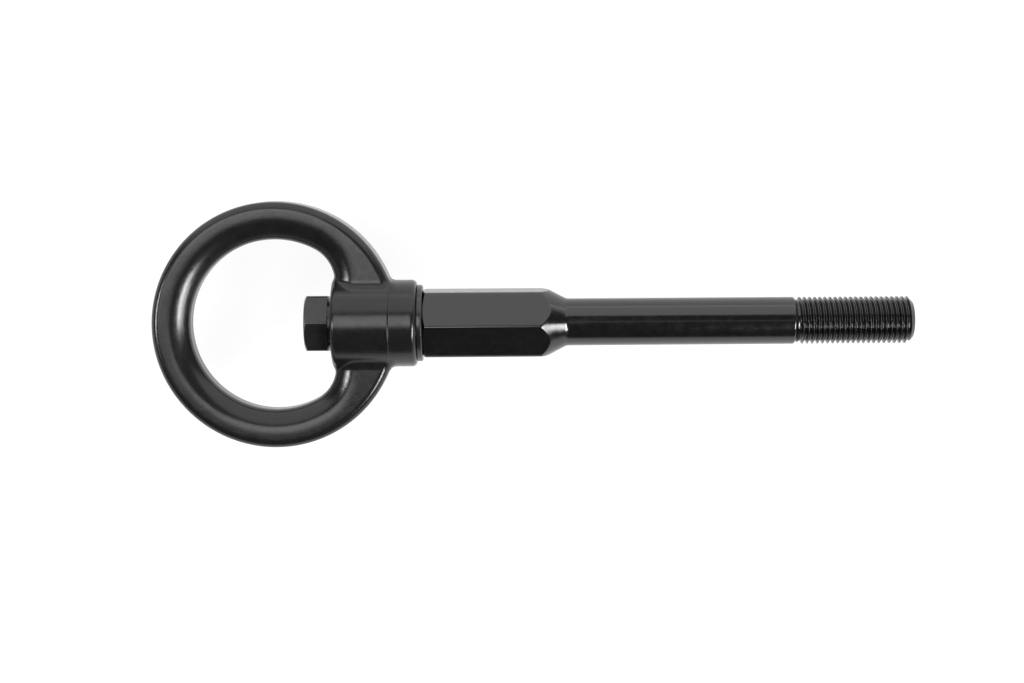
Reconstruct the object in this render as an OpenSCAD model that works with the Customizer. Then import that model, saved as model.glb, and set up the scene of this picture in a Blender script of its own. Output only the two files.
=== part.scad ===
// Swivelling tow eye: a forged eye that turns on a sleeve at the end of a threaded bar.
// Millimetres. The bar's axis is X, +X runs to the thread's tip, and the eye lies in the XY plane.
// The origin is on the axis, at the shoulder where the thread starts.

/* [Thread] */
// Nominal diameter of the thread
thread_d = 14; // [10:0.5:14.5]
// Pitch of the thread
thread_pitch = 1.5; // [1:0.25:2]
// Length of the thread, from the shoulder to the tip
thread_len = 34; // [20:0.5:60]
// How much the thread's crests lie under the nominal diameter
thread_allowance = 0.2; // [0.04:0.02:0.26]

/* [Bar] */
// Diameter of the round shank
shank_d = 13.8; // [13:0.1:16]
// Length of the round shank
shank_len = 67; // [20:1:160]
// Chamfer at the shank's shoulder
shoulder_chamfer = 0.8; // [0.4:0.1:1.2]
// Width of the hexagon across its flats
hex_af = 19; // [18:0.5:24]
// Length of the hexagon, with its tapered end
hex_len = 42; // [34:1:80]
// Angle between the bar's axis and the taper from hexagon to shank
taper_angle = 27.5; // [20:0.5:40]
// How far the hexagon is turned on the axis
hex_turn = 2.7; // [-30:0.1:30]
// Width of the end face left by the chamfer on the hexagon's inner end
hex_face_d = 18.6; // [17.5:0.1:19]

/* [Eye] */
// Outer diameter of the eye
eye_d = 71.6; // [66:0.1:84]
// Width of the ring round the round part of its opening
ring_w = 11; // [10:0.5:14]
// Thickness of the eye
eye_t = 14; // [12:0.5:16]
// Width from the flat of the opening to the eye's outer edge
flat_w = 18.4; // [17:0.1:20]
// Corner radius where the opening's flat meets its round part
opening_corner_r = 11; // [8:0.5:12]
// How much further the corners of the opening are cut than its round part
corner_relief = 0.1; // [0.08:0.02:0.3]
// Radius of the crowned slope along the opening
slope_r = 9.9; // [6.5:0.1:10]
// Width of the crowned slope along the opening
slope_w = 6; // [4:0.1:6.4]
// Rounding of the eye's outer edges
rim_r = 2.6; // [1.5:0.1:3.2]

/* [Boss] */
// Diameter of the boss inside the eye
boss_d = 26; // [24:0.5:27]
// Diameter of the turned collar beyond the eye
collar_d = 25.4; // [23:0.1:25.8]
// How far the boss stands proud of the opening's flat
boss_proud = 0.9; // [0.5:0.1:2]
// How far the collar reaches past the eye's outer edge
collar_out = 5.4; // [3:0.1:12]
// How far the step between boss and collar lies inside the eye's outer edge
step_in = 2.5; // [2.5:0.1:5]
// Rounding of the boss's and the collar's rims
boss_rim_r = 1.5; // [0.8:0.1:2]
// Radius of the blend between the boss and the eye's faces
blend_r = 5; // [2:0.5:7]

/* [Swivel] */
// Nominal diameter of the clamping bolt
bolt_d = 10; // [8:0.5:10.5]
// Length of the bolt under its head
bolt_len = 45; // [36:1:50]
// Width of the bolt's head across its flats
bolt_af = 16; // [15.5:0.5:18]
// Height of the bolt's head
bolt_head_h = 6.8; // [5:0.1:8]
// Diameter of the washer face under the bolt's head
washer_face_d = 14.8; // [14.2:0.1:15.4]
// Height of the washer face
washer_face_h = 1; // [0.4:0.1:1]
// Outer diameter of the sleeve that the eye turns on
sleeve_d = 13; // [12.4:0.1:13.6]
// Diameter of the thrust washer
thrust_d = 22.4; // [20:0.2:24]
// Thickness of the thrust washer
thrust_t = 1.5; // [1:0.1:3]
// Depth of the tapped hole in the bar's end
tapped_depth = 23; // [20:1:30]

/* [Clearances] */
// Radial running clearance between the sleeve and the eye's bore
running_gap = 0.05; // [0.02:0.01:0.1]
// Axial play at each end of the boss
end_play = 0.15; // [0.1:0.05:0.4]
// Radial clearance round the bolt inside the sleeve
bolt_gap = 0.15; // [0.1:0.05:0.3]
// Radial clearance between the sleeve and the thrust washer
thrust_gap = 0.15; // [0.1:0.05:0.3]
// Radial clearance of the bolt's thread in the tapped hole
tapped_gap = 0.03; // [0.02:0.01:0.05]

/* [Hidden] */
$fn = 96;

// Overshoot of a cut past the face that it opens
over = 1;

// Thread and bar, from the shoulder outwards
thread_r = (thread_d - thread_allowance) / 2;
thread_depth = 0.6134 * thread_pitch;
tip_chamfer = 1.6 * thread_depth;
shank_r = shank_d / 2;
hex_x = -shank_len - hex_len;
hex_chamfer_angle = 30;
wide_r = hex_af;

// Swivel, from the hexagon's end towards the bolt's head
thrust_x = hex_x - thrust_t;
collar_x = thrust_x - end_play;
eye_r = eye_d / 2;
flat_x = eye_r - flat_w;
eye_x = collar_x - collar_out - eye_r;
step_x = eye_x + eye_r - step_in;
boss_x = eye_x + flat_x - boss_proud;
head_x = boss_x - end_play;
boss_len = collar_x - boss_x;
sleeve_len = hex_x - head_x;
bore_r = sleeve_d / 2 + running_gap;
bolt_turn = -5.5;
bolt_point = 0.9;
thrust_edge = 0.3;
step_edge = 0.3;

// Section of the eye: the crowned slope leaves the flat face at a small angle and falls to the wall
eye_h = eye_t / 2;
opening_r = eye_r - ring_w;
slope_start = 10;
slope_x = slope_w + slope_r * sin(slope_start);
slope_z = eye_h - slope_r * cos(slope_start);
wall_h = slope_z + sqrt(slope_r * slope_r - slope_x * slope_x);

// Opening: corner centres, and the angle at which the corners run into the round part
corner_x = flat_x - opening_corner_r;
corner_y = sqrt(pow(opening_r - opening_corner_r, 2) - pow(corner_x, 2));
corner_angle = atan2(corner_y, corner_x);
corner_run_out = 12;
hollow_r = (opening_r - opening_corner_r + flat_x) / 2;

// Blend between boss and face: it starts just inside the boss and ends just under the face,
// on an arc a little flatter than one that is tangent to both
boss_r = boss_d / 2;
blend_sink = 0.1;
tangent_z = eye_h + blend_r;
tangent_y = sqrt(pow(boss_r + blend_r, 2) - pow(tangent_z, 2));
blend_on_boss = [tangent_y, tangent_z] * (boss_r - blend_sink) / (boss_r + blend_r);
blend_on_face = [tangent_y, eye_h - blend_sink];
blend_chord = blend_on_face - blend_on_boss;
blend_arc_r = 1.4 * blend_r;
blend_rise = sqrt(pow(blend_arc_r / norm(blend_chord), 2) - 0.25);
blend_centre = (blend_on_boss + blend_on_face) / 2 + blend_rise * [-blend_chord[1], blend_chord[0]];

// A solid of revolution on the bar's axis; the outline's x runs along +X and its y is the radius
module turned(x = 0) {
    translate([x, 0, 0]) rotate([0, 90, 0]) rotate_extrude() rotate(90) mirror([0, 1, 0]) children();
}

// Outline of a round bar of this length with its two end rims rounded
module rounded_bar_outline(len, r, rim_a, rim_b) {
    translate([rim_a, 0]) square([len - rim_a - rim_b, r]);
    square([len, r - max(rim_a, rim_b)]);
    square([rim_a + over, r - rim_a]);
    translate([len - rim_b - over, 0]) square([rim_b + over, r - rim_b]);
    intersection() {
        translate([rim_a, r - rim_a]) circle(rim_a);
        square([len, r]);
    }
    intersection() {
        translate([len - rim_b, r - rim_b]) circle(rim_b);
        square([len, r]);
    }
}

// Hexagonal prism along X, one corner up before it is turned on the axis
module hex_prism(x, len, af, turn) {
    translate([x, 0, 0]) rotate([turn, 0, 0]) rotate([0, 90, 0])
        cylinder(h = len, r = af / 2 / cos(30), $fn = 6);
}

// Cylinder along X
module round_bar(x, len, r) {
    translate([x, 0, 0]) rotate([0, 90, 0]) cylinder(h = len, r = r);
}

// Half section of the eye from its centre out, with its outer edges rounded
module disc_outline() {
    translate([0, -eye_h]) square([eye_r - rim_r, eye_t]);
    translate([0, rim_r - eye_h]) square([eye_r, eye_t - 2 * rim_r]);
    for (face = [-1, 1])
        intersection() {
            translate([eye_r - rim_r, face * (eye_h - rim_r)]) circle(rim_r);
            translate([0, -eye_h]) square([eye_r, eye_t]);
        }
}

// What the opening with its wall at this radius takes away: the hole and the two crowned slopes
module opening_outline(wall_r) {
    cut_h = eye_h - wall_h + over;
    translate([0, -eye_h - over]) square([wall_r, eye_t + 2 * over]);
    for (face = [-1, 1])
        difference() {
            translate([wall_r - over, face > 0 ? wall_h : -wall_h - cut_h])
                square([slope_w + over, cut_h]);
            translate([wall_r + slope_x, face * slope_z]) circle(slope_r);
        }
}

// The part of the eye along the round of its opening
module round_part() {
    rotate([0, 0, corner_angle])
        rotate_extrude(angle = 360 - 2 * corner_angle)
            difference() {
                disc_outline();
                opening_outline(opening_r);
            }
}

// The part of the eye that carries the boss, with the opening's flat and its two corners
module flat_part() {
    difference() {
        rotate([0, 0, -corner_angle])
            rotate_extrude(angle = 2 * corner_angle)
                difference() {
                    disc_outline();
                    translate([0, -eye_h - over]) square([hollow_r, eye_t + 2 * over]);
                }
        translate([0, -corner_y, -eye_h - over]) cube([flat_x, 2 * corner_y, eye_t + 2 * over]);
        for (side = [0, 1])
            mirror([0, side, 0]) translate([corner_x, corner_y, 0])
                rotate([0, 0, -corner_run_out])
                    rotate_extrude(angle = corner_angle + 2 * corner_run_out)
                        opening_outline(opening_corner_r + corner_relief);
    }
}

// Blend between one side of the boss and one face of the eye
module blend_outline() {
    difference() {
        polygon([[over, over], blend_on_boss, blend_on_face, [blend_on_face[0], over]]);
        translate(blend_centre) circle(blend_arc_r);
    }
}

// The four blends run along the boss, outside the opening and inside the eye's rounded rim
module boss_blends() {
    intersection() {
        for (side = [0, 1], face = [0, 1])
            mirror([0, side, 0]) mirror([0, 0, face])
                translate([flat_x, 0, 0]) rotate([90, 0, 90])
                    linear_extrude(eye_r - flat_x) blend_outline();
        cylinder(h = 2 * boss_d, r = eye_r - rim_r - blend_sink, center = true);
    }
}

// Eye: one forging with its boss, its turned collar and its bore
module eye() {
    color([0.10, 0.10, 0.10])
        difference() {
            union() {
                translate([eye_x, 0, 0]) {
                    round_part();
                    flat_part();
                    boss_blends();
                }
                turned(boss_x)
                    rounded_bar_outline(step_x - boss_x + boss_rim_r, boss_r, boss_rim_r, step_edge);
                turned(boss_x + boss_rim_r)
                    rounded_bar_outline(boss_len - boss_rim_r, collar_d / 2, step_edge, boss_rim_r);
            }
            round_bar(boss_x - over, boss_len + 2 * over, bore_r);
        }
}

// Bar: hexagon, taper, round shank and threaded end, with a tapped hole in the hexagon's end
module bar() {
    taper_len = (wide_r - shank_r) / tan(taper_angle);
    end_len = (wide_r - hex_face_d / 2) * tan(hex_chamfer_angle);
    tapped_r = bolt_d / 2 + tapped_gap;
    drill_tip = tapped_r * tan(30);
    color([0.07, 0.07, 0.07])
        difference() {
            union() {
                intersection() {
                    hex_prism(hex_x, hex_len, hex_af, hex_turn);
                    turned() polygon([
                        [hex_x, 0],
                        [hex_x, hex_face_d / 2],
                        [hex_x + end_len, wide_r],
                        [-shank_len - taper_len, wide_r],
                        [-shank_len, shank_r],
                        [-shank_len, 0]
                    ]);
                }
                turned() polygon([
                    [-shank_len - over, 0],
                    [-shank_len - over, shank_r],
                    [-shoulder_chamfer, shank_r],
                    [0, shank_r - shoulder_chamfer],
                    [0, thread_r],
                    [thread_len - tip_chamfer, thread_r],
                    [thread_len, thread_r - tip_chamfer],
                    [thread_len, 0]
                ]);
            }
            turned() polygon([
                [hex_x - over, 0],
                [hex_x - over, tapped_r],
                [hex_x + tapped_depth, tapped_r],
                [hex_x + tapped_depth + drill_tip, 0]
            ]);
        }
}

// Hexagon bolt that clamps the sleeve against the bar's end
module clamp_bolt() {
    top_r = 0.475 * bolt_af;
    wide_r = bolt_af;
    top_len = (wide_r - top_r) * tan(hex_chamfer_angle);
    head_end_x = head_x - washer_face_h - bolt_head_h;
    point_x = head_x + bolt_len - bolt_point;
    color([0.09, 0.09, 0.09]) {
        intersection() {
            hex_prism(head_end_x, bolt_head_h, bolt_af, bolt_turn);
            turned() polygon([
                [head_end_x, 0],
                [head_end_x, top_r],
                [head_end_x + top_len, wide_r],
                [head_x, wide_r],
                [head_x, 0]
            ]);
        }
        turned() polygon([
            [head_x - washer_face_h - over, 0],
            [head_x - washer_face_h - over, washer_face_d / 2],
            [head_x, washer_face_d / 2],
            [head_x, bolt_d / 2],
            [point_x, bolt_d / 2],
            [point_x + bolt_point, bolt_d / 2 - bolt_point],
            [point_x + bolt_point, 0]
        ]);
    }
}

// Sleeve that the bolt clamps and the eye turns on
module sleeve() {
    color([0.62, 0.62, 0.64])
        difference() {
            round_bar(head_x, sleeve_len, sleeve_d / 2);
            round_bar(head_x - over, sleeve_len + 2 * over, bolt_d / 2 + bolt_gap);
        }
}

// Thin washer between the collar and the hexagon
module thrust_washer() {
    color([0.13, 0.13, 0.13])
        difference() {
            turned() polygon([
                [thrust_x, 0],
                [thrust_x, thrust_d / 2],
                [hex_x - thrust_edge, thrust_d / 2],
                [hex_x, thrust_d / 2 - thrust_edge],
                [hex_x, 0]
            ]);
            round_bar(thrust_x - over, thrust_t + 2 * over, sleeve_d / 2 + thrust_gap);
        }
}

eye();
bar();
clamp_bolt();
sleeve();
thrust_washer();
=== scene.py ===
import math

import bmesh
import bpy
import numpy as np
from mathutils import Matrix, Vector


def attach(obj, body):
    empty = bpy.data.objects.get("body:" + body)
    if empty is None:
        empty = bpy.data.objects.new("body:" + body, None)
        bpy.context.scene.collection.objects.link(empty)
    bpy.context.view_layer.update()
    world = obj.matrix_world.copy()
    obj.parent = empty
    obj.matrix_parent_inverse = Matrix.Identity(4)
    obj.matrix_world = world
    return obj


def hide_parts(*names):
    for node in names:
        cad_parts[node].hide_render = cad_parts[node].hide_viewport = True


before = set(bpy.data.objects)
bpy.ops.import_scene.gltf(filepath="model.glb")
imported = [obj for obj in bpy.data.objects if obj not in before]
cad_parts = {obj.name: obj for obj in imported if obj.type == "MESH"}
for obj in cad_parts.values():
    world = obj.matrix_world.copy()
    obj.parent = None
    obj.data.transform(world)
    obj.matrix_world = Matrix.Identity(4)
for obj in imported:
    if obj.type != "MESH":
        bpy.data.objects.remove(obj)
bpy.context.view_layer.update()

MM = 0.001
scene = bpy.context.scene
scene.view_settings.view_transform = "Standard"

# Sizes in millimetres, as in the part's source
THREAD_R, THREAD_PITCH, THREAD_LEN = 6.9, 1.5, 34.0
THREAD_DEPTH = 0.6134 * THREAD_PITCH
SHANK_R, SHANK_LEN, SHOULDER = 6.9, 67.0, 0.8
HEX_AF, HEX_LEN, HEX_TURN, HEX_FACE_R = 19.0, 42.0, 2.7, 9.3
TAPER_SLOPE = math.tan(math.radians(27.5))
HEX_X = -SHANK_LEN - HEX_LEN
THRUST_R, THRUST_X, THRUST_HOLE_R = 11.2, -110.5, 6.65
COLLAR_X, EYE_X, EYE_R, EYE_H, RIM_R = -110.65, -151.85, 35.8, 7.0, 2.6
OPENING_R, CORNER_R, FLAT_X = 24.8, 11.0, 17.4
SLOPE_R, SLOPE_X, SLOPE_Z = 9.9, 7.719, -2.75
BOSS_X, STEP_X, BOSS_R, COLLAR_R, BOSS_RIM = -135.35, -118.55, 13.0, 12.7, 1.5
BORE_R = 6.55
FLOOR_Z = -EYE_R - 0.7
HEAD_X, BOLT_R, BOLT_LEN, BOLT_AF, BOLT_TURN = -135.5, 5.0, 45.0, 16.0, -5.5
HEAD_H, WASHER_FACE_R, WASHER_FACE_H = 6.8, 7.4, 1.0


def soft_max(a, b, k):
    """The larger of two distances, with the crease between them rounded over the width k."""
    h = np.maximum(k - np.abs(a - b), 0) / k
    return np.maximum(a, b) + h * h * k / 4


def rounded_edge(a, b, r):
    """Distance to what two solids share, where their square edge is rounded to the radius r."""
    outer = np.hypot(np.maximum(a + r, 0), np.maximum(b + r, 0))
    return np.minimum(np.maximum(a, b), -r) + outer


def opening_distance(x, y):
    """How far a point lies outside the D-shaped opening, from the eye's centre."""
    inner = OPENING_R - CORNER_R
    flat = FLAT_X - CORNER_R
    corner_y = math.sqrt(inner * inner - flat * flat)
    rho = np.hypot(x, y)
    to_corner = np.hypot(x - flat, np.abs(y) - corner_y)
    to_flat = np.where(np.abs(y) < corner_y, x - flat, to_corner)
    return np.where(x * inner < flat * rho, rho - inner, to_flat) - CORNER_R


def eye_distance(x, y, z):
    """Signed distance to the forging: ring, boss, collar and bore."""
    ex = x - EYE_X
    az = np.abs(z)
    w = opening_distance(ex, y)
    ring = rounded_edge(np.hypot(ex, y) - EYE_R, az - EYE_H, RIM_R)
    slope = np.hypot(np.minimum(w - SLOPE_X, 0), az - SLOPE_Z) - SLOPE_R
    ring = soft_max(ring, slope, 0.4)
    ring = soft_max(ring, -w, 0.9)
    q = np.hypot(y, z)
    boss = rounded_edge(q - BOSS_R, np.maximum(BOSS_X - x, x - STEP_X), 0.3)
    boss = np.maximum(boss, rounded_edge(q - BOSS_R, BOSS_X - x, BOSS_RIM))
    collar = rounded_edge(q - COLLAR_R, np.maximum(BOSS_X + 4 - x, x - COLLAR_X), BOSS_RIM)
    barrel = np.minimum(boss, collar)
    solid = -soft_max(-ring, -barrel, 1.8)
    return np.maximum(solid, np.minimum(BORE_R - q, x - BOSS_X + 3))


def slopes(distance, p, h=0.02):
    """Gradient of a distance at an array of points."""
    parts = []
    for axis in range(3):
        step = np.zeros(3)
        step[axis] = h
        parts.append((distance(*(p + step).T) - distance(*(p - step).T)) / (2 * h))
    return np.stack(parts, axis=1)


def spaced(low, high, step, fine_step=None, fine=()):
    """Stops from low to high, closer together in the fine ranges."""
    stops = [low]
    while stops[-1] < high:
        here = stops[-1]
        close = any(a <= here < b for a, b in fine)
        stops.append(here + (fine_step if close else step))
    return np.array(stops)


def net_of_surface(distance, axes):
    """Points and quads of the surface where a distance is zero, one point for each cell it crosses."""
    values = distance(*np.meshgrid(*axes, indexing="ij"))
    inside = values < 0
    cells = [n - 1 for n in values.shape]
    total = np.zeros(cells, int)
    corners = [(i, j, k) for i in (0, 1) for j in (0, 1) for k in (0, 1)]
    for i, j, k in corners:
        total += inside[i:i + cells[0], j:j + cells[1], k:k + cells[2]]
    used = np.argwhere((total > 0) & (total < 8))
    number = -np.ones(cells, int)
    number[tuple(used.T)] = np.arange(len(used))
    sums = np.zeros((len(used), 3))
    counts = np.zeros(len(used))
    for a in corners:
        for axis in range(3):
            if a[axis]:
                continue
            b = list(a)
            b[axis] = 1
            va = values[tuple((used + a).T)]
            vb = values[tuple((used + b).T)]
            crossed = (va < 0) != (vb < 0)
            share = np.where(crossed, va / np.where(crossed, va - vb, 1), 0)
            place = used + np.array(a, float)
            place[:, axis] += share
            sums[crossed] += place[crossed]
            counts[crossed] += 1
    place = sums / counts[:, None]
    columns = [np.interp(at, np.arange(len(stops)), stops) for at, stops in zip(place.T, axes)]
    points = np.stack(columns, axis=1)
    quads = []
    for axis in range(3):
        u, v = [n for n in range(3) if n != axis]
        first = [slice(None)] * 3
        second = [slice(None)] * 3
        first[axis] = slice(0, -1)
        second[axis] = slice(1, None)
        before, after = inside[tuple(first)], inside[tuple(second)]
        edges = np.argwhere(before != after)
        outward = before[tuple(edges.T)]
        ring = []
        for du, dv in ((0, 0), (1, 0), (1, 1), (0, 1)):
            at = edges.copy()
            at[:, u] -= du
            at[:, v] -= dv
            ring.append(number[tuple(at.T)])
        quad = np.stack(ring, axis=1)
        turn = outward if axis != 1 else ~outward
        quad[~turn] = quad[~turn][:, ::-1]
        quads.append(quad)
    return points, np.concatenate(quads)


def evened(distance, points, quads, rounds):
    """The same net with its points spread evenly and drawn onto the surface."""
    ends = np.concatenate([quads[:, [0, 1]], quads[:, [1, 2]], quads[:, [2, 3]], quads[:, [3, 0]]])
    weight = np.bincount(ends.ravel(), minlength=len(points)).astype(float)
    for n in range(rounds + 3):
        if n < rounds:
            near = np.zeros_like(points)
            for axis in range(3):
                near[:, axis] = (
                    np.bincount(ends[:, 0], points[ends[:, 1], axis], len(points))
                    + np.bincount(ends[:, 1], points[ends[:, 0], axis], len(points))
                ) / weight
            points = (points + near) / 2
        g = slopes(distance, points)
        size = np.maximum((g * g).sum(axis=1), 0.2)
        points = points - g * (distance(*points.T) / size)[:, None]
    return points


def new_object(name, points, faces, sharp=None):
    """A mesh object from points in millimetres."""
    mesh = bpy.data.meshes.new(name)
    mesh.from_pydata((np.asarray(points) * MM).tolist(), [], faces)
    mesh.validate()
    mesh.shade_smooth()
    if sharp is not None:
        mesh.set_sharp_from_angle(angle=math.radians(sharp))
    made = bpy.data.objects.new(name, mesh)
    scene.collection.objects.link(made)
    return made


def rounded_outline(corners, steps=5):
    """Points (x, r) of an outline whose corners (x, r, rounding) are rounded."""
    made = []
    for n, (x, r, rounding) in enumerate(corners):
        here = Vector((x, r))
        if not rounding:
            made.append(here)
            continue
        back = Vector(corners[n - 1][:2]) - here
        ahead = Vector(corners[n + 1][:2]) - here
        reach = rounding / math.tan(back.angle(ahead) / 2)
        reach = min(reach, 0.48 * back.length, 0.48 * ahead.length)
        start = here + back.normalized() * reach
        end = here + ahead.normalized() * reach
        for k in range(steps + 1):
            t = k / steps
            made.append(start * (1 - t) ** 2 + here * 2 * t * (1 - t) + end * t * t)
    return made


def with_steps(outline, low, high, step):
    """The same outline with points close together between two x."""
    made = [outline[0]]
    for a, b in zip(outline, outline[1:]):
        if min(a.x, b.x) < high and max(a.x, b.x) > low and abs(b.x - a.x) > step:
            count = math.ceil(abs(b.x - a.x) / step)
            stops = [a.lerp(b, k / count) for k in range(1, count)]
            made += [p for p in stops if low < p.x < high]
        made.append(b)
    return made


def hexagon(turns, across_flats, turn, edge):
    """Radius of a hexagon at each angle, with its corners rounded."""
    from_flat = (turns - math.radians(turn)) % (math.pi / 3) - math.pi / 6
    straight = across_flats / 2 / np.cos(from_flat)
    corner = across_flats / 2 / math.cos(math.pi / 6)
    return -soft_max(-straight, np.full_like(straight, edge - corner), 2 * edge)


def hexagonal(across_flats, turn, edge, last_x):
    """A radius function for lathe: the outline cut by a hexagon up to last_x, and round beyond it."""
    def radius(x, r, turns):
        round_r = np.full(len(turns), r)
        if x > last_x:
            return round_r
        return -soft_max(-hexagon(turns, across_flats, turn, edge), -round_r, edge)
    return radius


def lathe(name, outline, radius=None, columns=256, sharp=35):
    """A closed solid round the bar's axis. radius(r, angles) may shape each ring."""
    turns = np.linspace(0, 2 * math.pi, columns, endpoint=False)
    points, faces = [], []
    for x, r in outline:
        reach = radius(x, r, turns) if radius else np.full(columns, r)
        points.append(np.stack([np.full(columns, x), -reach * np.sin(turns), reach * np.cos(turns)], 1))
    around = np.arange(columns)
    ahead = np.roll(around, -1)
    for n in range(len(outline) - 1):
        a, b = n * columns, (n + 1) * columns
        faces += np.stack([a + around, b + around, b + ahead, a + ahead], 1).tolist()
    faces.append(around.tolist())
    faces.append((around[::-1] + (len(outline) - 1) * columns).tolist())
    return new_object(name, np.concatenate(points), faces, sharp)


def join(first, second):
    """Adds the second object's mesh to the first."""
    with bpy.context.temp_override(active_object=first, selected_editable_objects=[first, second]):
        bpy.ops.object.join()


# Eye: one forging, on a fine net
stops_x = spaced(-190, -109.8, 0.5, 0.1, [(STEP_X - 0.5, STEP_X + 0.6)])
stops_y, stops_z = spaced(-37.5, 37.5, 0.5), spaced(-14.2, 14.2, 0.5)
points, quads = net_of_surface(eye_distance, [stops_x, stops_y, stops_z])
points = evened(eye_distance, points, quads, 4)
normals = slopes(eye_distance, points)
normals /= np.linalg.norm(normals, axis=1)[:, None]
eye = new_object("forged_eye", points, quads.tolist())
eye.data.normals_split_custom_set_from_vertices(normals.tolist())

# Bar: hexagon, taper and shank. An outline clears a hexagon's corners at this share of its width
BEYOND_CORNERS = 0.62
CHAMFER_SLOPE = math.tan(math.radians(30))
wide = HEX_AF * BEYOND_CORNERS
chamfer_run = (wide - HEX_FACE_R) * CHAMFER_SLOPE
taper_x = -SHANK_LEN - (wide - SHANK_R) / TAPER_SLOPE
outline = rounded_outline([
    (HEX_X, HEX_FACE_R - 0.4, 0),
    (HEX_X, HEX_FACE_R, 0.12),
    (HEX_X + chamfer_run, wide, 0),
    (taper_x, wide, 0),
    (-SHANK_LEN, SHANK_R, 3.0),
    (-SHOULDER, SHANK_R, 0.7),
    (0, SHANK_R - SHOULDER, 0),
    (0, THREAD_R - THREAD_DEPTH - 0.1, 0),
    (THREAD_LEN - 1.5, THREAD_R - THREAD_DEPTH - 0.1, 0),
])
outline = with_steps(outline, HEX_X, HEX_X + chamfer_run, 0.1)
outline = with_steps(outline, taper_x, -SHANK_LEN - 3.5, 0.15)
cut = hexagonal(HEX_AF, HEX_TURN, 0.16, -SHANK_LEN - 1.5)
bar = lathe("threaded_bar", outline, cut, columns=480, sharp=38)


def thread_mesh(name, columns=180):
    """The right-hand thread as a closed skin, its rows following the helix."""
    crest, root = THREAD_R, THREAD_R - THREAD_DEPTH
    flank = THREAD_DEPTH * math.tan(math.radians(30))
    flat = THREAD_PITCH / 8
    tooth = rounded_outline([
        (-flank - flat / 2, root, 0),
        (-flat / 2, crest, 0.09),
        (flat / 2, crest, 0.09),
        (flank + flat / 2, root, 0.12),
        (THREAD_PITCH - flank - flat / 2, root, 0.12),
        (THREAD_PITCH - flat / 2, crest, 0),
    ], steps=2)[1:-1]
    turns = np.linspace(0, 2 * math.pi, columns + 1)
    rows = []
    for turn in range(-2, int(THREAD_LEN / THREAD_PITCH) + 2):
        for x, r in tooth:
            along = x + THREAD_PITCH * (turn + turns / (2 * math.pi))
            along = np.clip(along, 0.02, THREAD_LEN)
            run_in = root - 0.02 + 1.2 * along
            run_out = crest - 1.6 * THREAD_DEPTH + (THREAD_LEN - along)
            reach = np.minimum(r, np.minimum(run_in, run_out))
            rows.append(np.stack([along, -reach * np.sin(turns), reach * np.cos(turns)], 1))
    wide_row = columns + 1
    faces = []
    around = np.arange(columns)
    for n in range(len(rows) - 1):
        a, b = n * wide_row, (n + 1) * wide_row
        faces += np.stack([a + around, b + around, b + around + 1, a + around + 1], 1).tolist()
    made = new_object(name, np.concatenate(rows), faces)
    clean_skin(made.data)
    return made


def clean_skin(mesh):
    """Merges doubled points, closes the ends and turns the faces outwards."""
    work = bmesh.new()
    work.from_mesh(mesh)
    bmesh.ops.remove_doubles(work, verts=work.verts, dist=2e-6)
    bmesh.ops.dissolve_degenerate(work, edges=work.edges, dist=1e-6)
    rims = [e for e in work.edges if e.is_boundary]
    bmesh.ops.holes_fill(work, edges=rims, sides=0)
    bmesh.ops.recalc_face_normals(work, faces=work.faces)
    work.to_mesh(mesh)
    work.free()
    mesh.shade_smooth()
    mesh.set_sharp_from_angle(angle=math.radians(40))


join(bar, thread_mesh("thread"))

# Bolt: chamfered hexagon head on its washer face, and the shank inside the sleeve
head_end = HEAD_X - WASHER_FACE_H - HEAD_H
head_base = HEAD_X - WASHER_FACE_H
top_r = 0.475 * BOLT_AF
wide = BOLT_AF * BEYOND_CORNERS
outline = rounded_outline([
    (head_end, top_r - 0.5, 0),
    (head_end, top_r, 0.1),
    (head_end + (wide - top_r) * CHAMFER_SLOPE, wide, 0),
    (head_base, wide, 0),
    (head_base, WASHER_FACE_R, 0),
    (head_base + 0.05, WASHER_FACE_R, 0),
    (HEAD_X, WASHER_FACE_R, 0.1),
    (HEAD_X, BOLT_R, 0),
    (HEAD_X + BOLT_LEN - 0.9, BOLT_R, 0),
    (HEAD_X + BOLT_LEN, BOLT_R - 0.9, 0),
])
outline = with_steps(outline, head_end, head_end + 1.6, 0.08)
cut = hexagonal(BOLT_AF, BOLT_TURN, 0.14, head_base + 0.01)
bolt = lathe("hexagon_bolt", outline, cut, columns=360, sharp=38)

# Thrust washer
outline = rounded_outline([
    (THRUST_X, THRUST_HOLE_R, 0),
    (THRUST_X, THRUST_R, 0.15),
    (HEX_X - 0.3, THRUST_R, 0.1),
    (HEX_X, THRUST_R - 0.3, 0.1),
    (HEX_X, THRUST_HOLE_R, 0),
], steps=3)
washer = lathe("thrust_disc", outline)


def nodes_of(material):
    """The node tree of a material, its shader and its texture coordinates."""
    material.use_nodes = True
    tree = material.node_tree
    shader = tree.nodes["Principled BSDF"]
    place = tree.nodes.new("ShaderNodeTexCoord")
    return tree, shader, place


def noise(tree, place, scale, detail=3, stretch=(1, 1, 1)):
    """A noise texture in object space; scale is in features a metre."""
    mapping = tree.nodes.new("ShaderNodeMapping")
    mapping.inputs["Scale"].default_value = stretch
    texture = tree.nodes.new("ShaderNodeTexNoise")
    texture.inputs["Scale"].default_value = scale
    texture.inputs["Detail"].default_value = detail
    tree.links.new(place.outputs["Object"], mapping.inputs["Vector"])
    tree.links.new(mapping.outputs["Vector"], texture.inputs["Vector"])
    return texture.outputs["Fac"]


def ramped(tree, value, low, high, start=0.35, end=0.65):
    """Maps a noise to a range."""
    change = tree.nodes.new("ShaderNodeMapRange")
    change.inputs["From Min"].default_value = start
    change.inputs["From Max"].default_value = end
    change.inputs["To Min"].default_value = low
    change.inputs["To Max"].default_value = high
    tree.links.new(value, change.inputs["Value"])
    return change.outputs["Result"]


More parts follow.
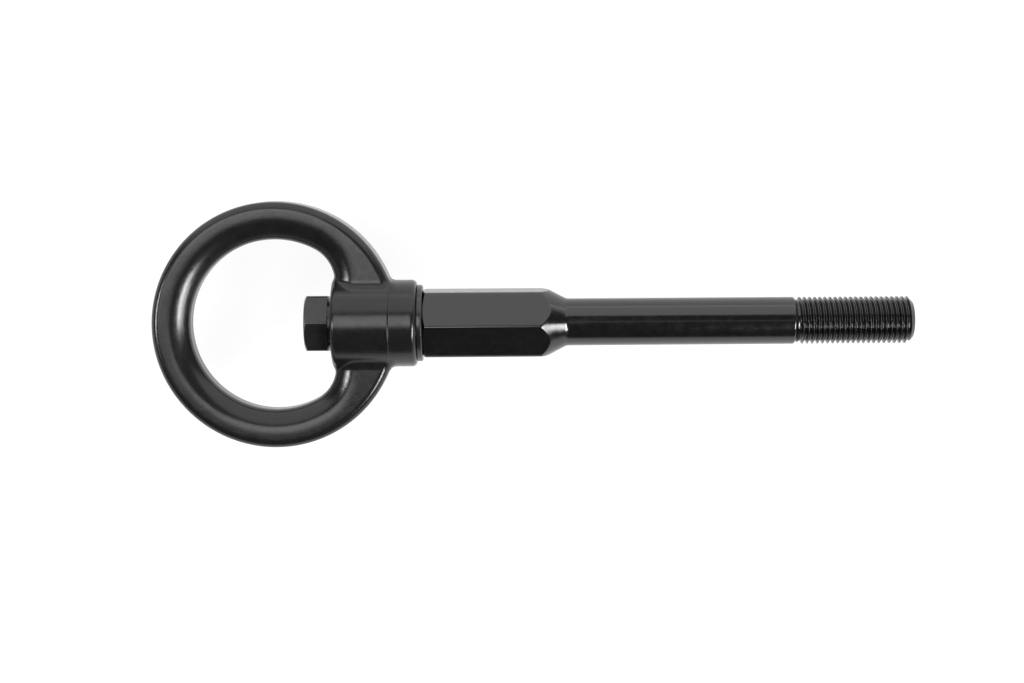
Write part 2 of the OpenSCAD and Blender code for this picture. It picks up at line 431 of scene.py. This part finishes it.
def bump(tree, height, distance, strength, onto=None):
    """Adds a bump, on top of an earlier one if given; distance is in metres."""
    node = tree.nodes.new("ShaderNodeBump")
    node.inputs["Distance"].default_value = distance
    node.inputs["Strength"].default_value = strength
    tree.links.new(height, node.inputs["Height"])
    if onto:
        tree.links.new(onto, node.inputs["Normal"])
    return node.outputs["Normal"]


def tinted(tree, value, dark, light):
    """A colour between two by a value from 0 to 1."""
    ramp = tree.nodes.new("ShaderNodeValToRGB")
    ramp.color_ramp.elements[0].position = 0.3
    ramp.color_ramp.elements[1].position = 0.7
    ramp.color_ramp.elements[0].color = (*dark, 1)
    ramp.color_ramp.elements[1].color = (*light, 1)
    tree.links.new(value, ramp.inputs["Fac"])
    return ramp.outputs["Color"]


def maths(tree, operation, first, second):
    """One math step between two values, each a socket or a number."""
    node = tree.nodes.new("ShaderNodeMath")
    node.operation = operation
    for place, value in zip(node.inputs, (first, second)):
        if isinstance(value, (int, float)):
            place.default_value = value
        else:
            tree.links.new(value, place)
    return node.outputs[0]


def satin_coating():
    """Satin black coating on a forging: fine grain over faint waves."""
    material = bpy.data.materials.new("satin_black_coating")
    tree, shader, place = nodes_of(material)
    tree.links.new(tinted(tree, noise(tree, place, 300), (0.006,) * 3, (0.009, 0.009, 0.0092)),
                   shader.inputs["Base Color"])
    tree.links.new(ramped(tree, noise(tree, place, 900), 0.19, 0.25), shader.inputs["Roughness"])
    shader.inputs["Specular IOR Level"].default_value = 0.5
    waves = bump(tree, noise(tree, place, 130, 2), 0.0002, 0.25)
    grain = bump(tree, noise(tree, place, 2400, 2), 0.00002, 0.8, waves)
    tree.links.new(grain, shader.inputs["Normal"])
    return material


def glossy_black(name, dark, rough, grooves, shine):
    """Black finish on machined steel, with fine turning marks round the axis."""
    material = bpy.data.materials.new(name)
    tree, shader, place = nodes_of(material)
    tree.links.new(tinted(tree, noise(tree, place, 200), (dark * 0.85,) * 3, (dark * 1.2,) * 3),
                   shader.inputs["Base Color"])
    shader.inputs["Specular IOR Level"].default_value = shine
    tree.links.new(ramped(tree, noise(tree, place, 500), rough * 0.85, rough * 1.25),
                   shader.inputs["Roughness"])
    marks = bump(tree, noise(tree, place, 1, 3, (5000, 90, 90)), 0.00001, grooves)
    grain = bump(tree, noise(tree, place, 4000, 2), 0.00001, 0.2, marks)
    tree.links.new(grain, shader.inputs["Normal"])
    return material


def ground_steel():
    """Bright ground steel for the sleeve."""
    material = bpy.data.materials.new("ground_steel")
    tree, shader, place = nodes_of(material)
    shader.inputs["Metallic"].default_value = 1
    tree.links.new(tinted(tree, noise(tree, place, 400), (0.5, 0.5, 0.52), (0.6, 0.6, 0.61)),
                   shader.inputs["Base Color"])
    tree.links.new(ramped(tree, noise(tree, place, 900), 0.25, 0.4), shader.inputs["Roughness"])
    marks = bump(tree, noise(tree, place, 1, 3, (6000, 200, 200)), 0.00001, 0.4)
    tree.links.new(marks, shader.inputs["Normal"])
    return material


def dress(piece, material):
    """Gives a piece its one material."""
    piece.data.materials.clear()
    piece.data.materials.append(material)


dress(eye, satin_coating())
dress(bar, glossy_black("glossy_black_steel", 0.004, 0.16, 0.35, 0.78))
dress(bolt, glossy_black("black_oxide_bolt", 0.009, 0.25, 0.15, 0.66))
dress(washer, glossy_black("black_oxide_washer", 0.01, 0.22, 0.4, 0.66))
for material_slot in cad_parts["sleeve"].material_slots:
    material_slot.material = ground_steel()

for piece, body, node, slot in (
    (eye, "eye_body", "eye", "black_coated_forging"),
    (bar, "bar_body", "bar", "black_bar_steel"),
    (bolt, "bar_body", "clamp_bolt", "black_bolt_steel"),
    (washer, "bar_body", "thrust_washer", "black_washer_steel"),
):
    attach(piece, body)
    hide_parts(node)


def seen_directly(tree):
    """1 for the rays that see a background: from the camera, off gloss and through glass."""
    rays = tree.nodes.new("ShaderNodeLightPath").outputs
    gloss = maths(tree, "MAXIMUM", rays["Is Glossy Ray"], rays["Is Transmission Ray"])
    return maths(tree, "MAXIMUM", rays["Is Camera Ray"], gloss)


# Floor: low enough for the eye to turn all the way round above it
corners = ((-0.9, -0.8), (0.7, -0.8), (0.7, 0.8), (-0.9, 0.8))
floor_mesh = bpy.data.meshes.new("floor")
floor_mesh.from_pydata([(x, y, FLOOR_Z * MM) for x, y in corners], [], [(0, 1, 2, 3)])
floor = bpy.data.objects.new("floor", floor_mesh)
scene.collection.objects.link(floor)
material = bpy.data.materials.new("white_sweep")
tree, shader, _ = nodes_of(material)
shader.inputs["Base Color"].default_value = (0.9, 0.9, 0.9, 1)
shader.inputs["Roughness"].default_value = 0.6
shader.inputs["Specular IOR Level"].default_value = 0.2
glow = tree.nodes.new("ShaderNodeEmission")
glow.inputs["Strength"].default_value = 1.07
mix = tree.nodes.new("ShaderNodeMixShader")
tree.links.new(maths(tree, "MULTIPLY", seen_directly(tree), 0.8), mix.inputs["Fac"])
tree.links.new(shader.outputs["BSDF"], mix.inputs[1])
tree.links.new(glow.outputs["Emission"], mix.inputs[2])
tree.links.new(mix.outputs["Shader"], tree.nodes["Material Output"].inputs["Surface"])
floor_mesh.materials.append(material)

# World: a dim room with a white horizon, and white where the camera looks past the floor
world = bpy.data.worlds.new("studio")
scene.world = world
world.use_nodes = True
tree = world.node_tree
background = tree.nodes["Background"]
background.inputs["Color"].default_value = (1, 1, 1, 1)
rays = tree.nodes.new("ShaderNodeLightPath")
place = tree.nodes.new("ShaderNodeTexCoord")
split = tree.nodes.new("ShaderNodeSeparateXYZ")
tree.links.new(place.outputs["Generated"], split.inputs["Vector"])
room = ramped(tree, split.outputs["Z"], 1.0, 0.05, start=0.06, end=0.22)
tree.links.new(maths(tree, "MAXIMUM", rays.outputs["Is Camera Ray"], room), background.inputs["Strength"])


def softbox(name, width, depth, radiance):
    """An area light of a given size and radiance that shines straight down."""
    lamp = bpy.data.lights.new(name, "AREA")
    lamp.shape = "RECTANGLE"
    lamp.size, lamp.size_y = width, depth
    lamp.energy = radiance * math.pi * width * depth
    made = bpy.data.objects.new(name, lamp)
    scene.collection.objects.link(made)
    return made


# Lamps aimed at the part: tilt is off the vertical, azimuth from +X towards +Y
lit_place = Vector((-0.08, 0, 0))
for name, tilt, azimuth, distance, width, depth, radiance in (
    ("upper_softbox", 60, 90, 1.1, 2.6, 1.08, 1.25),
    ("right_light", 45, -28, 1.0, 0.54, 0.18, 30),
    ("low_right_light", 57, -22, 1.0, 0.5, 0.12, 15),
    ("left_light", 52, 180, 1.0, 0.24, 0.16, 26),
    ("zenith_strip", 4.5, 90, 1.3, 1.6, 0.06, 0.7),
):
    tilt, azimuth = math.radians(tilt), math.radians(azimuth)
    side = math.sin(tilt)
    way = Vector((side * math.cos(azimuth), side * math.sin(azimuth), math.cos(tilt)))
    aimed = softbox(name, width, depth, radiance)
    aimed.location = lit_place + way * distance
    aimed.rotation_euler = way.to_track_quat("Z", "Y").to_euler()
softbox("ceiling_panel", 0.72, 0.68, 3.2).location = (-0.44, 0.235, 1.32)

# Camera: almost straight above, a little towards +Y
camera_data = bpy.data.cameras.new("camera")
camera = bpy.data.objects.new("camera", camera_data)
scene.collection.objects.link(camera)
scene.camera = camera
DISTANCE, TILT, ROLL, VIEW_ANGLE = 0.5584, math.radians(5.5), math.radians(0.4), math.radians(30.15)
camera_data.sensor_width = 36
camera_data.lens = camera_data.sensor_width / (2 * math.tan(VIEW_ANGLE / 2))
camera_data.clip_start = 0.01
target = Vector((-0.08299, -0.00577, -0.00122))
camera.location = target + DISTANCE * Vector((0, math.sin(TILT), math.cos(TILT)))
camera.rotation_euler = (Matrix.Rotation(-TILT, 3, "X") @ Matrix.Rotation(-ROLL, 3, "Z")).to_euler()
